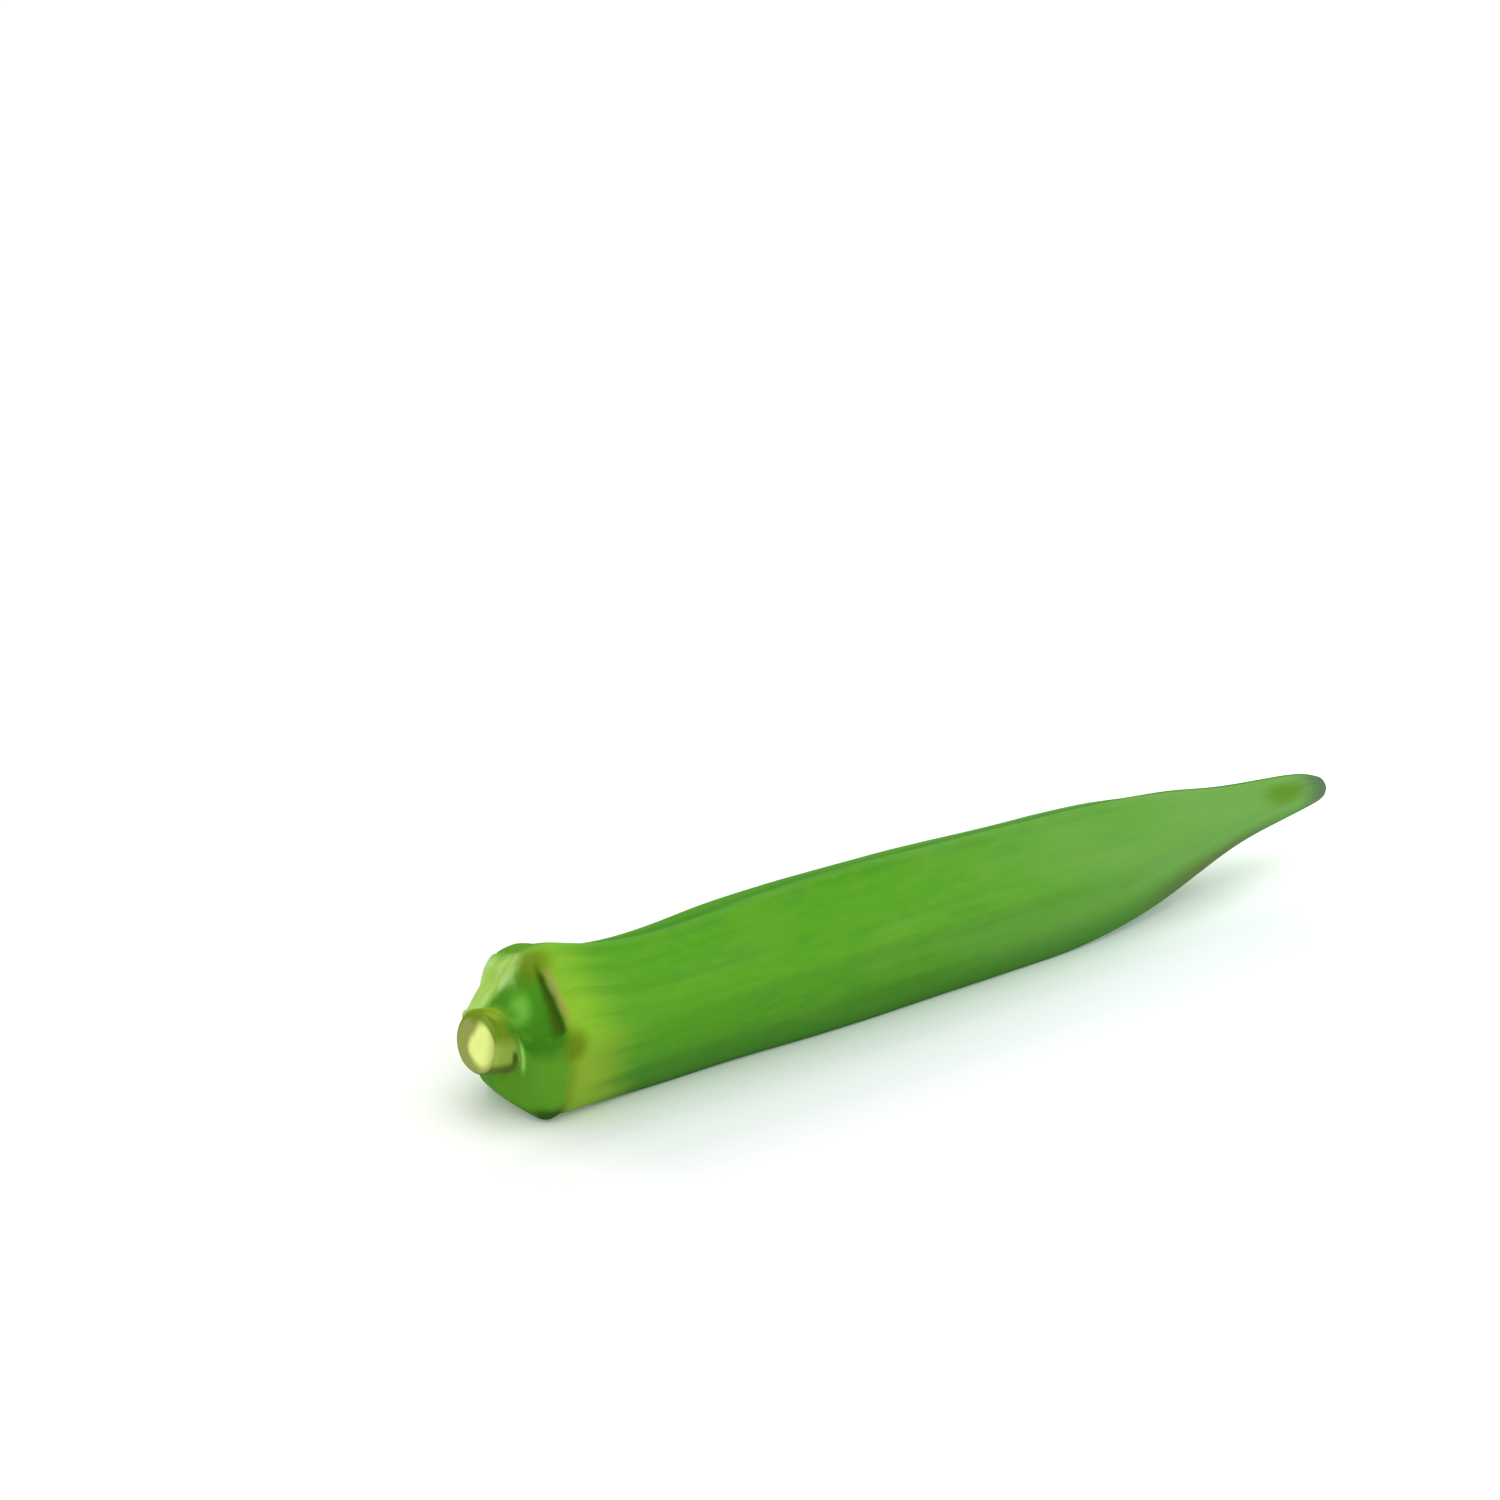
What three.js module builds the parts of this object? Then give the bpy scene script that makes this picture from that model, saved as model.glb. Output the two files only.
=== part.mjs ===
// An okra pod as picked: a short cut stalk, the five-sided cap that it swells into, a thin groove and rim
// round the collar, and a long five-ridged body that tapers to a blunt tip. It grew as one piece, so it is
// one closed solid. Millimetres. The pod lies along +X, tip at +X, with +Z up, and rests on a flat side.
import * as THREE from "three";

// Driving dimensions. A station is a distance along the pod from the groove of the collar, towards the tip.
// A place is an angle round the pod, in degrees from its -Y side upwards.
const STALK_END = -6.3; // station of the cut face
const TIP_END = 111; // station of the tip
const TIP_ROUND = 1.25; // radius of the tip's rounded end
const SINK = 0.14; // how much of the underside is pressed flat where it rests
const RIDGE_SHARPNESS = 22; // higher is a crisper ridge between two flat sides

// [station, the places of the five ridges]
const RIDGE_PLACES = [
  [STALK_END, [17, 76, 130, 229, 303]],
  [5.8, [17, 76, 130, 230, 303]],
  [6.8, [17, 76, 134, 231, 303]],
  [13, [17, 77, 145, 231, 303]],
  [45, [18, 77, 146, 231, 303]],
  [80, [19, 78, 147, 231, 303]],
  [TIP_END, [15, 74, 145, 228, 300]],
];

// [station, how far out each of the five ridges stands, as a share of the ridge radius]
const RIDGE_REACHES = [
  [STALK_END, [1, 1, 0.87, 1.06, 1]],
  [5.8, [1, 1, 0.87, 1.06, 1]],
  [6.8, [1, 1, 0.88, 1.06, 1]],
  [13, [1, 1, 0.96, 1.06, 1]],
  [TIP_END, [1, 1, 0.96, 1.06, 1]],
];

// [station, ridge radius: the distance from the axis to a ridge]
const STALK_RADIUS = [[STALK_END, 3.05], [-6.1, 3.3], [-5.6, 3.4], [-4.4, 3.42], [-3.9, 3.6]];
const CAP_RADIUS = [[-3.6, 4.1], [-3.1, 5.1], [-2.6, 6.9], [-1.95, 8.2], [-1.4, 9], [-0.9, 9.25]];
const COLLAR_RADIUS = [[-0.5, 9.35], [-0.25, 9.25], [0, 9.05], [0.3, 9.25], [0.9, 9.4], [2.2, 9.45]];
const BODY_RADIUS = [
  [4.5, 9.25], [8, 8.8], [13, 8.5], [18, 8.55], [27, 8.92], [38, 9.1], [50, 8.92], [60, 8.72], [68, 8.5],
];
const TAPER_RADIUS = [
  [76, 7.8], [85, 6.2], [94, 4.1], [102, 2.9], [108, 2.05], [TIP_END - TIP_ROUND, 1.55],
];

// [station, how five-sided the section is]: 0 is round, 1 has flat sides, above 1 they are a little hollow
const ANGULARITY = [
  [STALK_END, 0.05], [-3.8, 0.15], [-2.8, 0.6], [-1.2, 0.8], [0, 0.54], [2, 0.52], [7, 0.82], [18, 1.04],
  [50, 1.06], [75, 1], [95, 0.75], [106, 0.4], [TIP_END, 0.1],
];

// [station, height of the pod's lowest line over the surface that it lies on]
const CLEARANCE = [
  [STALK_END, 5.5], [-3.8, 4.7], [-3.2, 2.9], [-2.6, 1.05], [-1.9, 0.25], [-1.2, 0], [-0.5, 0], [0, 0.3],
  [0.9, 0], [3, 0.05], [9, 0], [66, 0], [72, 0.35], [80, 1.45], [88, 3.2], [96, 4.85], [104, 5.8],
  [TIP_END, 6.5],
];

// [station, how far the axis lies towards +Y]
const SIDEWAYS = [[STALK_END, -0.6], [-2, -0.15], [4, 0], [40, -0.1], [75, 0.2], [TIP_END, 1.1]];

// [station, how far the section leans: one place of it towards the stalk, the opposite one towards the tip]
const LEAN = [[STALK_END, -0.6], [-3.6, 0.9], [-2.2, 0.4], [0, 0.8], [12, 0]];

// [station, the place that leans towards the stalk]
const LEAN_PLACE = [[STALK_END, 30], [-3.6, 125], [0, 70], [12, 70]];

// Mesh density
const PER_SIDE = 10; // facets across one side, between two ridges
const FINE_STEP = 0.42; // spacing of the rings over the stalk, cap and collar
const FINE_END = 1.5; // station where that spacing starts to widen
const BODY_STEP = 2.2; // spacing of the rings along the body
const BODY_START = 5; // station where the body's spacing begins
const SLOPE_STEP = 0.02; // step for reading the skin's slope
const TIP_RINGS = 4; // rings over the rounded tip
const FACE_SHARES = [0.35, 0.75]; // rings on the cut face, as shares of its radius

const AXIS = new THREE.Vector2(0, 0);
const TURN = 2 * Math.PI;
const DOWN = 0.75 * TURN; // the place that faces the surface below
const { clamp, degToRad, lerp, smoothstep } = THREE.MathUtils;

// A smooth curve through a table of [station, value] that never overshoots its points (monotone cubic).
function curveThrough(table) {
  const slopes = table.slice(1).map(([s, v], i) => (v - table[i][1]) / (s - table[i][0]));
  const tangents = table.map((_, i) => {
    const before = slopes[i - 1] ?? slopes[0];
    const after = slopes[i] ?? slopes[i - 1];
    return before * after <= 0 ? 0 : (2 * before * after) / (before + after);
  });
  return (station) => {
    const s = clamp(station, table[0][0], table[table.length - 1][0]);
    const i = Math.max(0, table.findIndex(([end]) => end >= s) - 1);
    const [s0, v0] = table[i];
    const [s1, v1] = table[i + 1];
    const h = s1 - s0;
    const t = (s - s0) / h;
    const rise = v0 * (1 + 2 * t) * (1 - t) ** 2 + v1 * t * t * (3 - 2 * t);
    return rise + h * t * (1 - t) * (tangents[i] * (1 - t) - tangents[i + 1] * t);
  };
}

const ridgeRadius = curveThrough([
  ...STALK_RADIUS, ...CAP_RADIUS, ...COLLAR_RADIUS, ...BODY_RADIUS, ...TAPER_RADIUS,
]);
const angularity = curveThrough(ANGULARITY);
const clearance = curveThrough(CLEARANCE);
const sideways = curveThrough(SIDEWAYS);
const lean = curveThrough(LEAN);
const leanPlace = curveThrough(LEAN_PLACE.map(([station, place]) => [station, degToRad(place)]));
const ridgePlaces = RIDGE_PLACES[0][1].map((_, i) =>
  curveThrough(RIDGE_PLACES.map(([station, places]) => [station, degToRad(places[i])])),
);
const ridgeReaches = RIDGE_REACHES[0][1].map((_, i) =>
  curveThrough(RIDGE_REACHES.map(([station, reaches]) => [station, reaches[i]])),
);

// The five sides at a station: the ridges that each one lies between, the direction that it faces, and its
// distance from the axis as a share of the ridge radius.
function sidesAt(station) {
  const ridges = ridgePlaces.map((place) => place(station));
  const corners = ridges.map((ridge, i) =>
    new THREE.Vector2(ridgeReaches[i](station), 0).rotateAround(AXIS, ridge),
  );
  return ridges.map((from, i) => {
    const next = (i + 1) % ridges.length;
    const to = next > i ? ridges[next] : ridges[next] + TURN;
    const edge = corners[next].clone().sub(corners[i]);
    const outward = new THREE.Vector2(edge.y, -edge.x).normalize();
    return { from, to, faces: outward.angle(), distance: outward.dot(corners[i]) };
  });
}

// Radius at a station and angle, leaving out the rounded tip: a blend of a circle and a five-sided outline
// with rounded corners.
function radiusAt(station, angle) {
  const sum = sidesAt(station).reduce((total, side) => {
    const reach = Math.max(0, Math.cos(angle - side.faces)) / side.distance;
    return total + reach ** RIDGE_SHARPNESS;
  }, 0);
  const fiveSided = (2 / sum) ** (1 / RIDGE_SHARPNESS);
  return ridgeRadius(station) * lerp(1, fiveSided, angularity(station));
}

// Height of the axis, so that the side facing down has its clearance.
function axisHeight(station) {
  return radiusAt(station, DOWN) + clearance(station) - SINK;
}

// The angles round the pod where the ring at a station has its vertices: closer together towards each ridge.
function ringAngles(station) {
  return sidesAt(station).flatMap((side) =>
    Array.from({ length: PER_SIDE }, (_, k) => {
      const even = k / PER_SIDE;
      const eased = (1 - Math.cos(Math.PI * even)) / 2;
      return lerp(side.from, side.to, (even + eased) / 2);
    }),
  );
}

// The stations of the rings, from the cut face to the start of the rounded tip. Where the skin is steep they
// are closer together, so that their spacing over it is even.
function ringStations() {
  const end = TIP_END - TIP_ROUND;
  const stations = [];
  let station = STALK_END;
  while (station < end) {
    stations.push(station);
    const spacing = lerp(FINE_STEP, BODY_STEP, smoothstep(station, FINE_END, BODY_START));
    const slope = (ridgeRadius(station + SLOPE_STEP) - ridgeRadius(station)) / SLOPE_STEP;
    station += spacing / Math.hypot(1, slope);
  }
  return [...stations, end];
}

// The point at a station and angle, at a share of the full radius there.
function pointAt(station, angle, share = 1, radiusStation = station) {
  const radius = radiusAt(radiusStation, angle) * share;
  return new THREE.Vector3(
    station - lean(station) * Math.cos(angle - leanPlace(station)) * share,
    sideways(station) - radius * Math.cos(angle),
    Math.max(0, axisHeight(radiusStation) + radius * Math.sin(angle)),
  );
}

// All rings of the pod: across the cut face, along the pod, and round the tip.
function podRings() {
  const ringAt = (station, share, radiusStation) =>
    ringAngles(station).map((angle) => pointAt(station, angle, share, radiusStation));
  const faceRings = FACE_SHARES.map((share) => ringAt(STALK_END, share));
  const bodyRings = ringStations().map((station) => ringAt(station));
  const tipStart = TIP_END - TIP_ROUND;
  const tipRings = Array.from({ length: TIP_RINGS - 1 }, (_, i) => {
    const bend = ((i + 1) / TIP_RINGS) * (Math.PI / 2);
    return ringAt(tipStart + TIP_ROUND * Math.sin(bend), Math.cos(bend), tipStart);
  });
  return [...faceRings, ...bodyRings, ...tipRings];
}

// One closed surface over the rings, with a point at each end.
function closedOver(rings, firstPoint, lastPoint) {
  const around = rings[0].length;
  const points = [firstPoint, ...rings.flat(), lastPoint];
  const at = (ring, k) => 1 + ring * around + (k % around);
  const last = points.length - 1;
  const triangles = [];
  for (let k = 0; k < around; k += 1) {
    triangles.push(0, at(0, k), at(0, k + 1));
    triangles.push(last, at(rings.length - 1, k + 1), at(rings.length - 1, k));
    for (let ring = 0; ring + 1 < rings.length; ring += 1) {
      triangles.push(at(ring, k), at(ring + 1, k), at(ring, k + 1));
      triangles.push(at(ring, k + 1), at(ring + 1, k), at(ring + 1, k + 1));
    }
  }
  const geometry = new THREE.BufferGeometry().setFromPoints(points);
  geometry.setIndex(triangles);
  return geometry;
}

function podGeometry() {
  const cutCentre = pointAt(STALK_END, 0, 0);
  const tipPoint = new THREE.Vector3(TIP_END, sideways(TIP_END), axisHeight(TIP_END - TIP_ROUND));
  const geometry = closedOver(podRings(), cutCentre, tipPoint);
  geometry.computeBoundingBox();
  const { min, max } = geometry.boundingBox;
  geometry.translate(-(min.x + max.x) / 2, -(min.y + max.y) / 2, -min.z);
  geometry.computeVertexNormals();
  return geometry;
}

const podSkin = new THREE.MeshStandardMaterial({ color: 0x5a9e30, roughness: 0.5, metalness: 0 });
const pod = new THREE.Mesh(podGeometry(), podSkin);
pod.name = "okra_pod";

const okra = new THREE.Group();
okra.add(pod);

export default okra;
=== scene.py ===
"""Okra pod: one fresh green pod lying on a pale surface, from its cut stalk to its blunt tip.

Sizes in the tables are millimetres. A station is a distance along the pod from the groove of its collar
towards the tip, and a run is that distance over the skin. A place is an angle round the pod, in degrees
from its -Y side upwards.
"""

import math

import bmesh
import bpy
import numpy as np
from mathutils import Matrix, Vector, noise


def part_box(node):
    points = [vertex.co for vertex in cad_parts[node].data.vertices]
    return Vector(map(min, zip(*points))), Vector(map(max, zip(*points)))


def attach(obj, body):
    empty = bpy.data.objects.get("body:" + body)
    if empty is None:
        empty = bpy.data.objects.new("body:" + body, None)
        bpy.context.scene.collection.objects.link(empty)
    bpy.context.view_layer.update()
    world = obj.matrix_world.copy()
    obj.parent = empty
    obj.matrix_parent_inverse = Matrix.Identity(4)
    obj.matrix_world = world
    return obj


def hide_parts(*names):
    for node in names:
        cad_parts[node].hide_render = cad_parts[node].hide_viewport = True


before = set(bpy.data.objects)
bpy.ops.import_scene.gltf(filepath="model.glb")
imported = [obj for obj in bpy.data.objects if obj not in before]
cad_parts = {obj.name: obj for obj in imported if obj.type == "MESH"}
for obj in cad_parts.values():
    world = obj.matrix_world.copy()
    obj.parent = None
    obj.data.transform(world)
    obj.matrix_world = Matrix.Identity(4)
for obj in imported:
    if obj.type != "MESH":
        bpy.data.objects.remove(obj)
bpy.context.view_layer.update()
POD_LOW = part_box("okra_pod")[0]

bl_info = {
    "name": "Okra pod",
    "version": (1, 0, 0),
    "blender": (4, 5, 0),
    "location": "View3D > Sidebar > Okra",
    "description": "Models a fresh okra pod with its fuzz, on a pale stage with soft light",
    "category": "Add Mesh",
}

MM = 0.001
FULL_TURN = 360
HALF_TURN = 180
DOWNWARDS = 270

# ---------------------------------------------------------------- the pod, in millimetres and degrees
STALK_END = -6.3  # station of the cut face
TIP_END = 111  # station of the tip
TIP_ROUND = 1.25  # radius of the tip's rounded end
TIP_BENDS = [30, 56, 76]  # how far round that radius each of its rings stands
SINK = 0.14  # how much of the underside is pressed flat where it rests
SECTION_RADIUS = 9  # ridge radius of the bar that the pod is shaped from
SIDE_CROWN = 1.032  # makes up for what the rounding takes off the ridges
SIDE_CUTS = 6
CORNER_SEGMENTS = 4
ROUND_PROFILE = 0.5
RIDGES = [17.5, 77, 146, 231, 303]
RIDGE_REACH = [1, 1, 0.96, 1.06, 1]  # how far out each ridge stands, as a share of the ridge radius
SEAM = 120  # places run from minus this, under the pod, up and over it
RING_SPACING_CHANGES = (1.5, 8)  # stations between which the rings move from fine to wide spacing
SLOPE_STEP = 0.02
RUN_STEP = 0.05
SAME_STATION = 1e-4
LEAST_TILT = 1e-4
LEAST_TURN = 1e-5
LEAST_LENGTH = 1e-6

# The far ridge turns towards the top over the cap, and stands in a little there
FAR_RIDGE = 2
FAR_RIDGE_AT_CAP = 130
FAR_REACH_AT_CAP = 0.83
FAR_RIDGE_LENGTH = 6
FAR_RIDGE_WIDTH = 6
FAR_RIDGE_BLEND = 7
FAR_RIDGE_TURNS = (3, 10)

# The cut face: a share of the stalk's radius and a step inwards for each ring, then the pith's dome
CUT_RINGS = [[0.93, 0.02], [0.76, 0.1], [0.55, -0.05], [0.28, -0.06]]
CUT_SHIFT = [0, -0.2, 0]
PITH_DOME = 0.05
POLE_EDGES = 12  # more edges than this meet only at the middle of the cut face


def curve_through(table):
    """A smooth curve through a table of (station, value) that never overshoots its points."""
    slopes = [(b[1] - a[1]) / (b[0] - a[0]) for a, b in zip(table, table[1:])]
    tangents = []
    for before, after in zip([slopes[0]] + slopes, slopes + [slopes[-1]]):
        level = before * after <= 0
        tangents.append(0 if level else 2 * before * after / (before + after))

    def value(station):
        s = min(max(station, table[0][0]), table[-1][0])
        i = next(k for k in range(len(table) - 1) if s <= table[k + 1][0])
        (s0, v0), (s1, v1) = table[i], table[i + 1]
        h = s1 - s0
        t = (s - s0) / h
        rise = v0 * (1 + 2 * t) * (1 - t) ** 2 + v1 * t * t * (3 - 2 * t)
        return rise + h * t * (1 - t) * (tangents[i] * (1 - t) - tangents[i + 1] * t)

    return value


# [station, ridge radius]
ridge_radius = curve_through([
    [STALK_END, 3.05], [-6.1, 3.3], [-5.6, 3.4], [-4.4, 3.42], [-3.9, 3.6], [-3.6, 4.1], [-3.1, 5.1],
    [-2.6, 6.9], [-1.95, 8.2], [-1.4, 9], [-0.9, 9.25], [-0.5, 9.35], [0, 9.25], [0.9, 9.4], [2.2, 9.45],
    [4.5, 9.25], [8, 8.8], [13, 8.5], [18, 8.55], [27, 8.92], [38, 9.1], [50, 8.92], [60, 8.72],
    [68, 8.5], [76, 7.8], [85, 6.2], [94, 4.1], [102, 2.9], [108, 2.05], [TIP_END - TIP_ROUND, 1.55],
])
# [station, how five-sided the section is], from 0 for round to 1 for flat sides
angularity = curve_through([
    [STALK_END, 0.05], [-3.8, 0.15], [-2.8, 0.6], [-1.2, 0.8], [0, 0.62], [2, 0.6], [7, 0.85], [18, 1],
    [75, 1], [95, 0.75], [106, 0.4], [TIP_END, 0.1],
])
# [station, height of the lowest line over the surface that the pod lies on]
clearance = curve_through([
    [STALK_END, 5.5], [-3.8, 4.7], [-3.2, 2.9], [-2.6, 1.05], [-1.9, 0.25], [-1.2, 0], [-0.5, 0],
    [0, 0.1], [0.9, 0], [3, 0.05], [9, 0], [66, 0], [72, 0.35], [80, 1.45], [88, 3.2], [96, 4.85],
    [104, 5.8], [TIP_END, 6.5],
])
# [station, how far the axis lies towards +Y]
sideways = curve_through([
    [STALK_END, -0.6], [-2, -0.15], [4, 0], [40, -0.1], [75, 0.2], [TIP_END, 1.1],
])
# [station, how far the section leans], and [station, the place that leans towards the stalk]
lean = curve_through([[STALK_END, -0.6], [-3.6, 0.9], [-2.2, 0.4], [0, 0.8], [12, 0], [TIP_END, 0]])
lean_place = curve_through([[STALK_END, 30], [-3.6, 125], [0, 70], [12, 70], [TIP_END, 70]])

# ---------------------------------------------------------------- marks and relief
MARK_HEIGHTS = {"groove": -0.8, "scar": 0.16, "hollow": -0.22, "lip": 0.16}
SEAM_HEIGHT = -0.08
MARK_STRENGTHS = {"tip_spot": 0.8, "scar": 0.9, "cap_patch": 0.8, "olive": 0.9, "root": 0.9}

# Lines across the pod: the run of the middle, and half the width
SCAR_LINE = (0.38, 0.85)
SEAM_LINE = (0.05, 0.4)
SHOULDER_LINE = (-6.2, 3.6)
# Sides of the pod: the middle place, and how far from it a mark begins to fade and ends
FAR_SHOULDER = (142, 8, 80)
LOW_SHOULDER = (258, 14, 70)
STALK_SIDE = (125, 20, 85)
# the side of the cap's foot that takes painted contact shade
FOOT_SHADE_SIDE = (-50, 22, 45)
# Stripes: such a line, by run or station, on such a side
STRIPES = {
    "olive": ("run", (0.4, 1.1), (-20, 20, 48)),
    "root": ("run", (-7.4, 2.4), (92, 18, 52)),
    "hollow": ("station", (-4.05, 0.42), (-17, 3, 30)),
    # the lip beside the stalk's crease: raised, and painted as a highlight
    "lip": ("station", (-3.55, 0.24), (-8, 10, 38)),
}
# Soft round marks: run, place, reach and spread
SPOTS = {
    "olive_top": (-0.3, 71, 3.1, 17),
    "olive_foot": (0.4, 8, 2.2, 19),
    # painted highlight on the cap's near side
    "cap_patch": (-4.4, 58, 2.6, 20),
    "glow": (2.9, 27, 4.8, 24),
    "tip_spot": (103.4, 36, 5.5, 40),
}
SPOT_CORE = 0.2  # the share of a round mark that is at full strength

# Unevenness: waves per millimetre along and across the skin, and where its noise starts
GROOVE_NOISE = (0.5, 0.8)
SCAR_NOISE = (0.3, 0.5, 7)
HIGHLIGHT_NOISE = (0.45, 0.7, 5)
STALK_NOISE = (0.4, 0.5, 13)
PITH_NOISE = (0, 0.32, 3)
RIB_NOISE = (0.03, 0.9)
DENT_NOISE = (0.09, 0.22, 31)

# The groove: its run and widths, then its wall, floor and lip as shares of the width
GROOVE_EDGE = 0.2
GROOVE_TOP = 0.9
GROOVE_FOOT = 3.2
GROOVE_UNEVEN = 0.12
GROOVE_WALL = 0.15
GROOVE_FLOOR = 0.3
GROOVE_LIP = 1.15
GROOVE_ENDS = ((0, 0.12), (0.66, 1))
GROOVE_TOP_DEPTH = 0.45
SHADE_WIDENING = 1.7

# The scar: its places, and how its noise frays them and its edge
SCAR_START = (18, 38)
SCAR_STOP = (48, 72)
SCAR_START_FRAY = 10
SCAR_STOP_FRAY = 14
SCAR_UNEVEN = 0.3

# The pale part of the cut face, in shares of the stalk's radius towards the near side and upwards
PITH_MIDDLE = (0.24, 0.06)
PITH_SIZE = (0.58, 0.78)
PITH_UNEVEN = 0.03
PITH_EDGE = (0.7, 1.25)
PITH_DEPTH = (0.1, 0.7)
PITH_NEAR_EDGE = (0.1, 0.95)
PITH_NEAR_FADE = 0.75

SEAM_OFF_RIDGE = (2, 9)
OLIVE_LINE_STRENGTH = 0.45
SHOULDER_SHIFT = 1.6
LOW_SHOULDER_STRENGTH = 0.75
STALK_COVER = (-4.2, -3.4)
STALK_COVER_SHIFT = 1.5
STALK_COVER_UNEVEN = 0.3
HIGHLIGHT_EVENNESS = (0.8, 0.6)
# Painted contact shade: along the near side of the cap's foot, and over the lowest skin everywhere
FOOT_SHADE_ENDS = ((-2.9, -1.9), (-0.5, 0.9))
FOOT_SHADE_HEIGHT = (1.1, 2.4)
FOOT_SHADE_STRENGTH = 0.9
CONTACT_SHADE_HEIGHT = (0.2, 1)
CONTACT_SHADE_STRENGTH = 0.35
RELIEF_ENDS = ((1, 9), (96, 109))
RIB_HEIGHT = 0.05
DENT_DEPTH = 0.14
DENT_BIAS = 0.6
CREST_HEIGHT = 0.02
CREST_SIDE = (0.3, 3.2)

# ---------------------------------------------------------------- fuzz
HAIR_SEED = 11
HAIR_SPREAD = 0.35
HAIR_SWEEP = 0.45  # how far the hairs lean towards the tip
HAIR_BEND = (0.3, 0, -0.05)  # how far a hair's point is moved, as shares of its length
HAIR_SIZES = (0.35, 1)
HAIR_SINK = 0.02
HAIR_POINT = 0.9  # beyond this share of its length is a hair's point
FUZZ_ON_SIDES = 0.35
FUZZ_ON_RIDGES = 1.4
FUZZ_RIDGE_SIDE = (1, 7)
FUZZ_LOWEST = 0.6
SKIN_SHARE = 0.97  # beyond this share of the cut face's radius it is skin
FACE_ORDER = (1, 0.7345, 0.4273)  # faces are counted along this line, so that each run is the same
SKIN = "okra_pod_skin"

# ---------------------------------------------------------------- finishes
# How far a pattern is drawn out along the pod, then its scale, detail and roughness
PATTERNS = {
    "streaks": (0.03, 0.6, 3, 0.5),
    "threads": (0.06, 2.4, 2, 0.6),
    "clouds": (0.35, 0.2, 2, 0.5),
    "patches": (0.4, 0.4, 3, 0.6),
    "mottle": (0.5, 0.9, 3, 0.6),
    "grain": (1, 5, 2, 0.6),
    "blotches": (1, 0.45, 2, 0.6),
}
# Where a mask is 0, where it is full, its strength, and a pattern that shifts it by so much
RAMPS = {
    "streaks": (0.4, 0.75, 0.45),
    "clouds": (0.45, 0.7, 0.45),
    "threads": (0.5, 0.75, 0.15),
    "mottle": (0.42, 0.68, 0.35),
    "patches": (0.52, 0.7, 0.4),
    "tip": (52, 126, 0.9, "clouds", 40),
    # faint painted highlight along the ridges
    "ridge": (6, 0.5, 0.08),
    "near_side": (117, 84, 1),
    # painted shade on the lower face, and under the tip
    "below": (4, 62, 1),
    "under_tip_starts": (75, 85, 0.8),
    "under_tip_stops": (104, 94, 1),
    # beyond the top ridge: painted shade in the body's colour, and rougher skin
    "beyond": (76, 92, 1),
    "beyond_fades": (96, 130, 0.45),
    "tip_end": (105.4, 110.8, 1, "streaks", 2),
    "low_collar": (34, 4, 1, "clouds", 20),
    # painted shade on the collar beyond the top ridge
    "far_collar_shade": (78, 96, 0.7),
    "low_side": (26, 0, 1),
    "collar": (12, 4, 1, "streaks", 6),
    "deep_cap": (76, 34, 1, "clouds", 40),
    "low_cap": (-24, -6, 0.9, "clouds", -12),
    "cap_blotches": (0.5, 0.7, 0.5),
    "bloom": (0.4, 0.65, 0.6),
    "far_cap": (66, 86, 1, "blotches", 24),
    "far_cap_stops": (200, 160, 1),
    "cap_edge": (-1.4, -0.1, 0.6),
    "body": (-0.3, 0.9, 1, "mottle", 0.5),
    "shade": (0, 0.9, 0.5),
    "groove": (0.05, 0.7, 1),
    # painted light on the stalk's near side, and painted shade underneath
    "lit_stalk": (44, 16, 1, "blotches", 24),
    "shade_under_stalk": (16, 40, 0.8),
    "hollow": (0.1, 1, 0.9),
    "rim_starts": (50, 90, 0.7),
    "rim_stops": (148, 108, 1),
    "rim": (0.5, 0.9, 1),
    "cut": (0.98, 0.93, 1),
    # on the floor, in metres
    "glow": (-0.02, 0.06, 1),
    "seen_glow": (-0.045, 0.045, 1),
    "seen_by_tip": (0.036, 0.07, 1),
    "seen_by_edge": (-0.0105, -0.0055, 1),
    "clear_across": (0.015, 0.026, 1),
    "clear_along": (0.046, 0.058, 1),
    "afar": (0.1, 0.5, 1),
}
BODY_PATTERNS = {
    "streaks": "body_deep", "clouds": "body_warm", "threads": "body_pale", "mottle": "body_warm",
    "patches": "body_cool",
}
MIX_FIRST, MIX_SECOND, MIX_RESULT = 6, 7, 2  # the colour sockets of a mix node
# strength of the painted shade on the body's lower side
UNDER_SHADE_STRENGTH = 0.85
# strength of the painted shade beyond the top ridge
BEYOND_SHADE_STRENGTH = 0.8
COLLAR_FRAY = 2
COLLAR_LOW_REACH = 2
CAP_SLANT = 6.5  # degrees that the pale far side's edge turns for each millimetre
ROUGHNESS = 0.52
ROUGH_PATTERNS = {"streaks": 0.1, "grain": 0.08}
BEYOND_ROUGHNESS = 0.3
FINE_RELIEF = {"threads": 0.4, "grain": 0.25, "streaks": 0.4}
FINE_RELIEF_DEPTH = 0.06
SKIN_SHINE = {
    "Specular_IOR_Level": 0.06, "Subsurface_Weight": 0.08, "Subsurface_Radius": (0.6, 1.0, 0.2),
    "Subsurface_Scale": 1.2 * MM,
}
FUZZ_MOTTLE = 0.5
FUZZ_MOTTLE_SCALE = 400
FUZZ_SHINE = {"Roughness": 0.6, "Specular_IOR_Level": 0.3}

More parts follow.
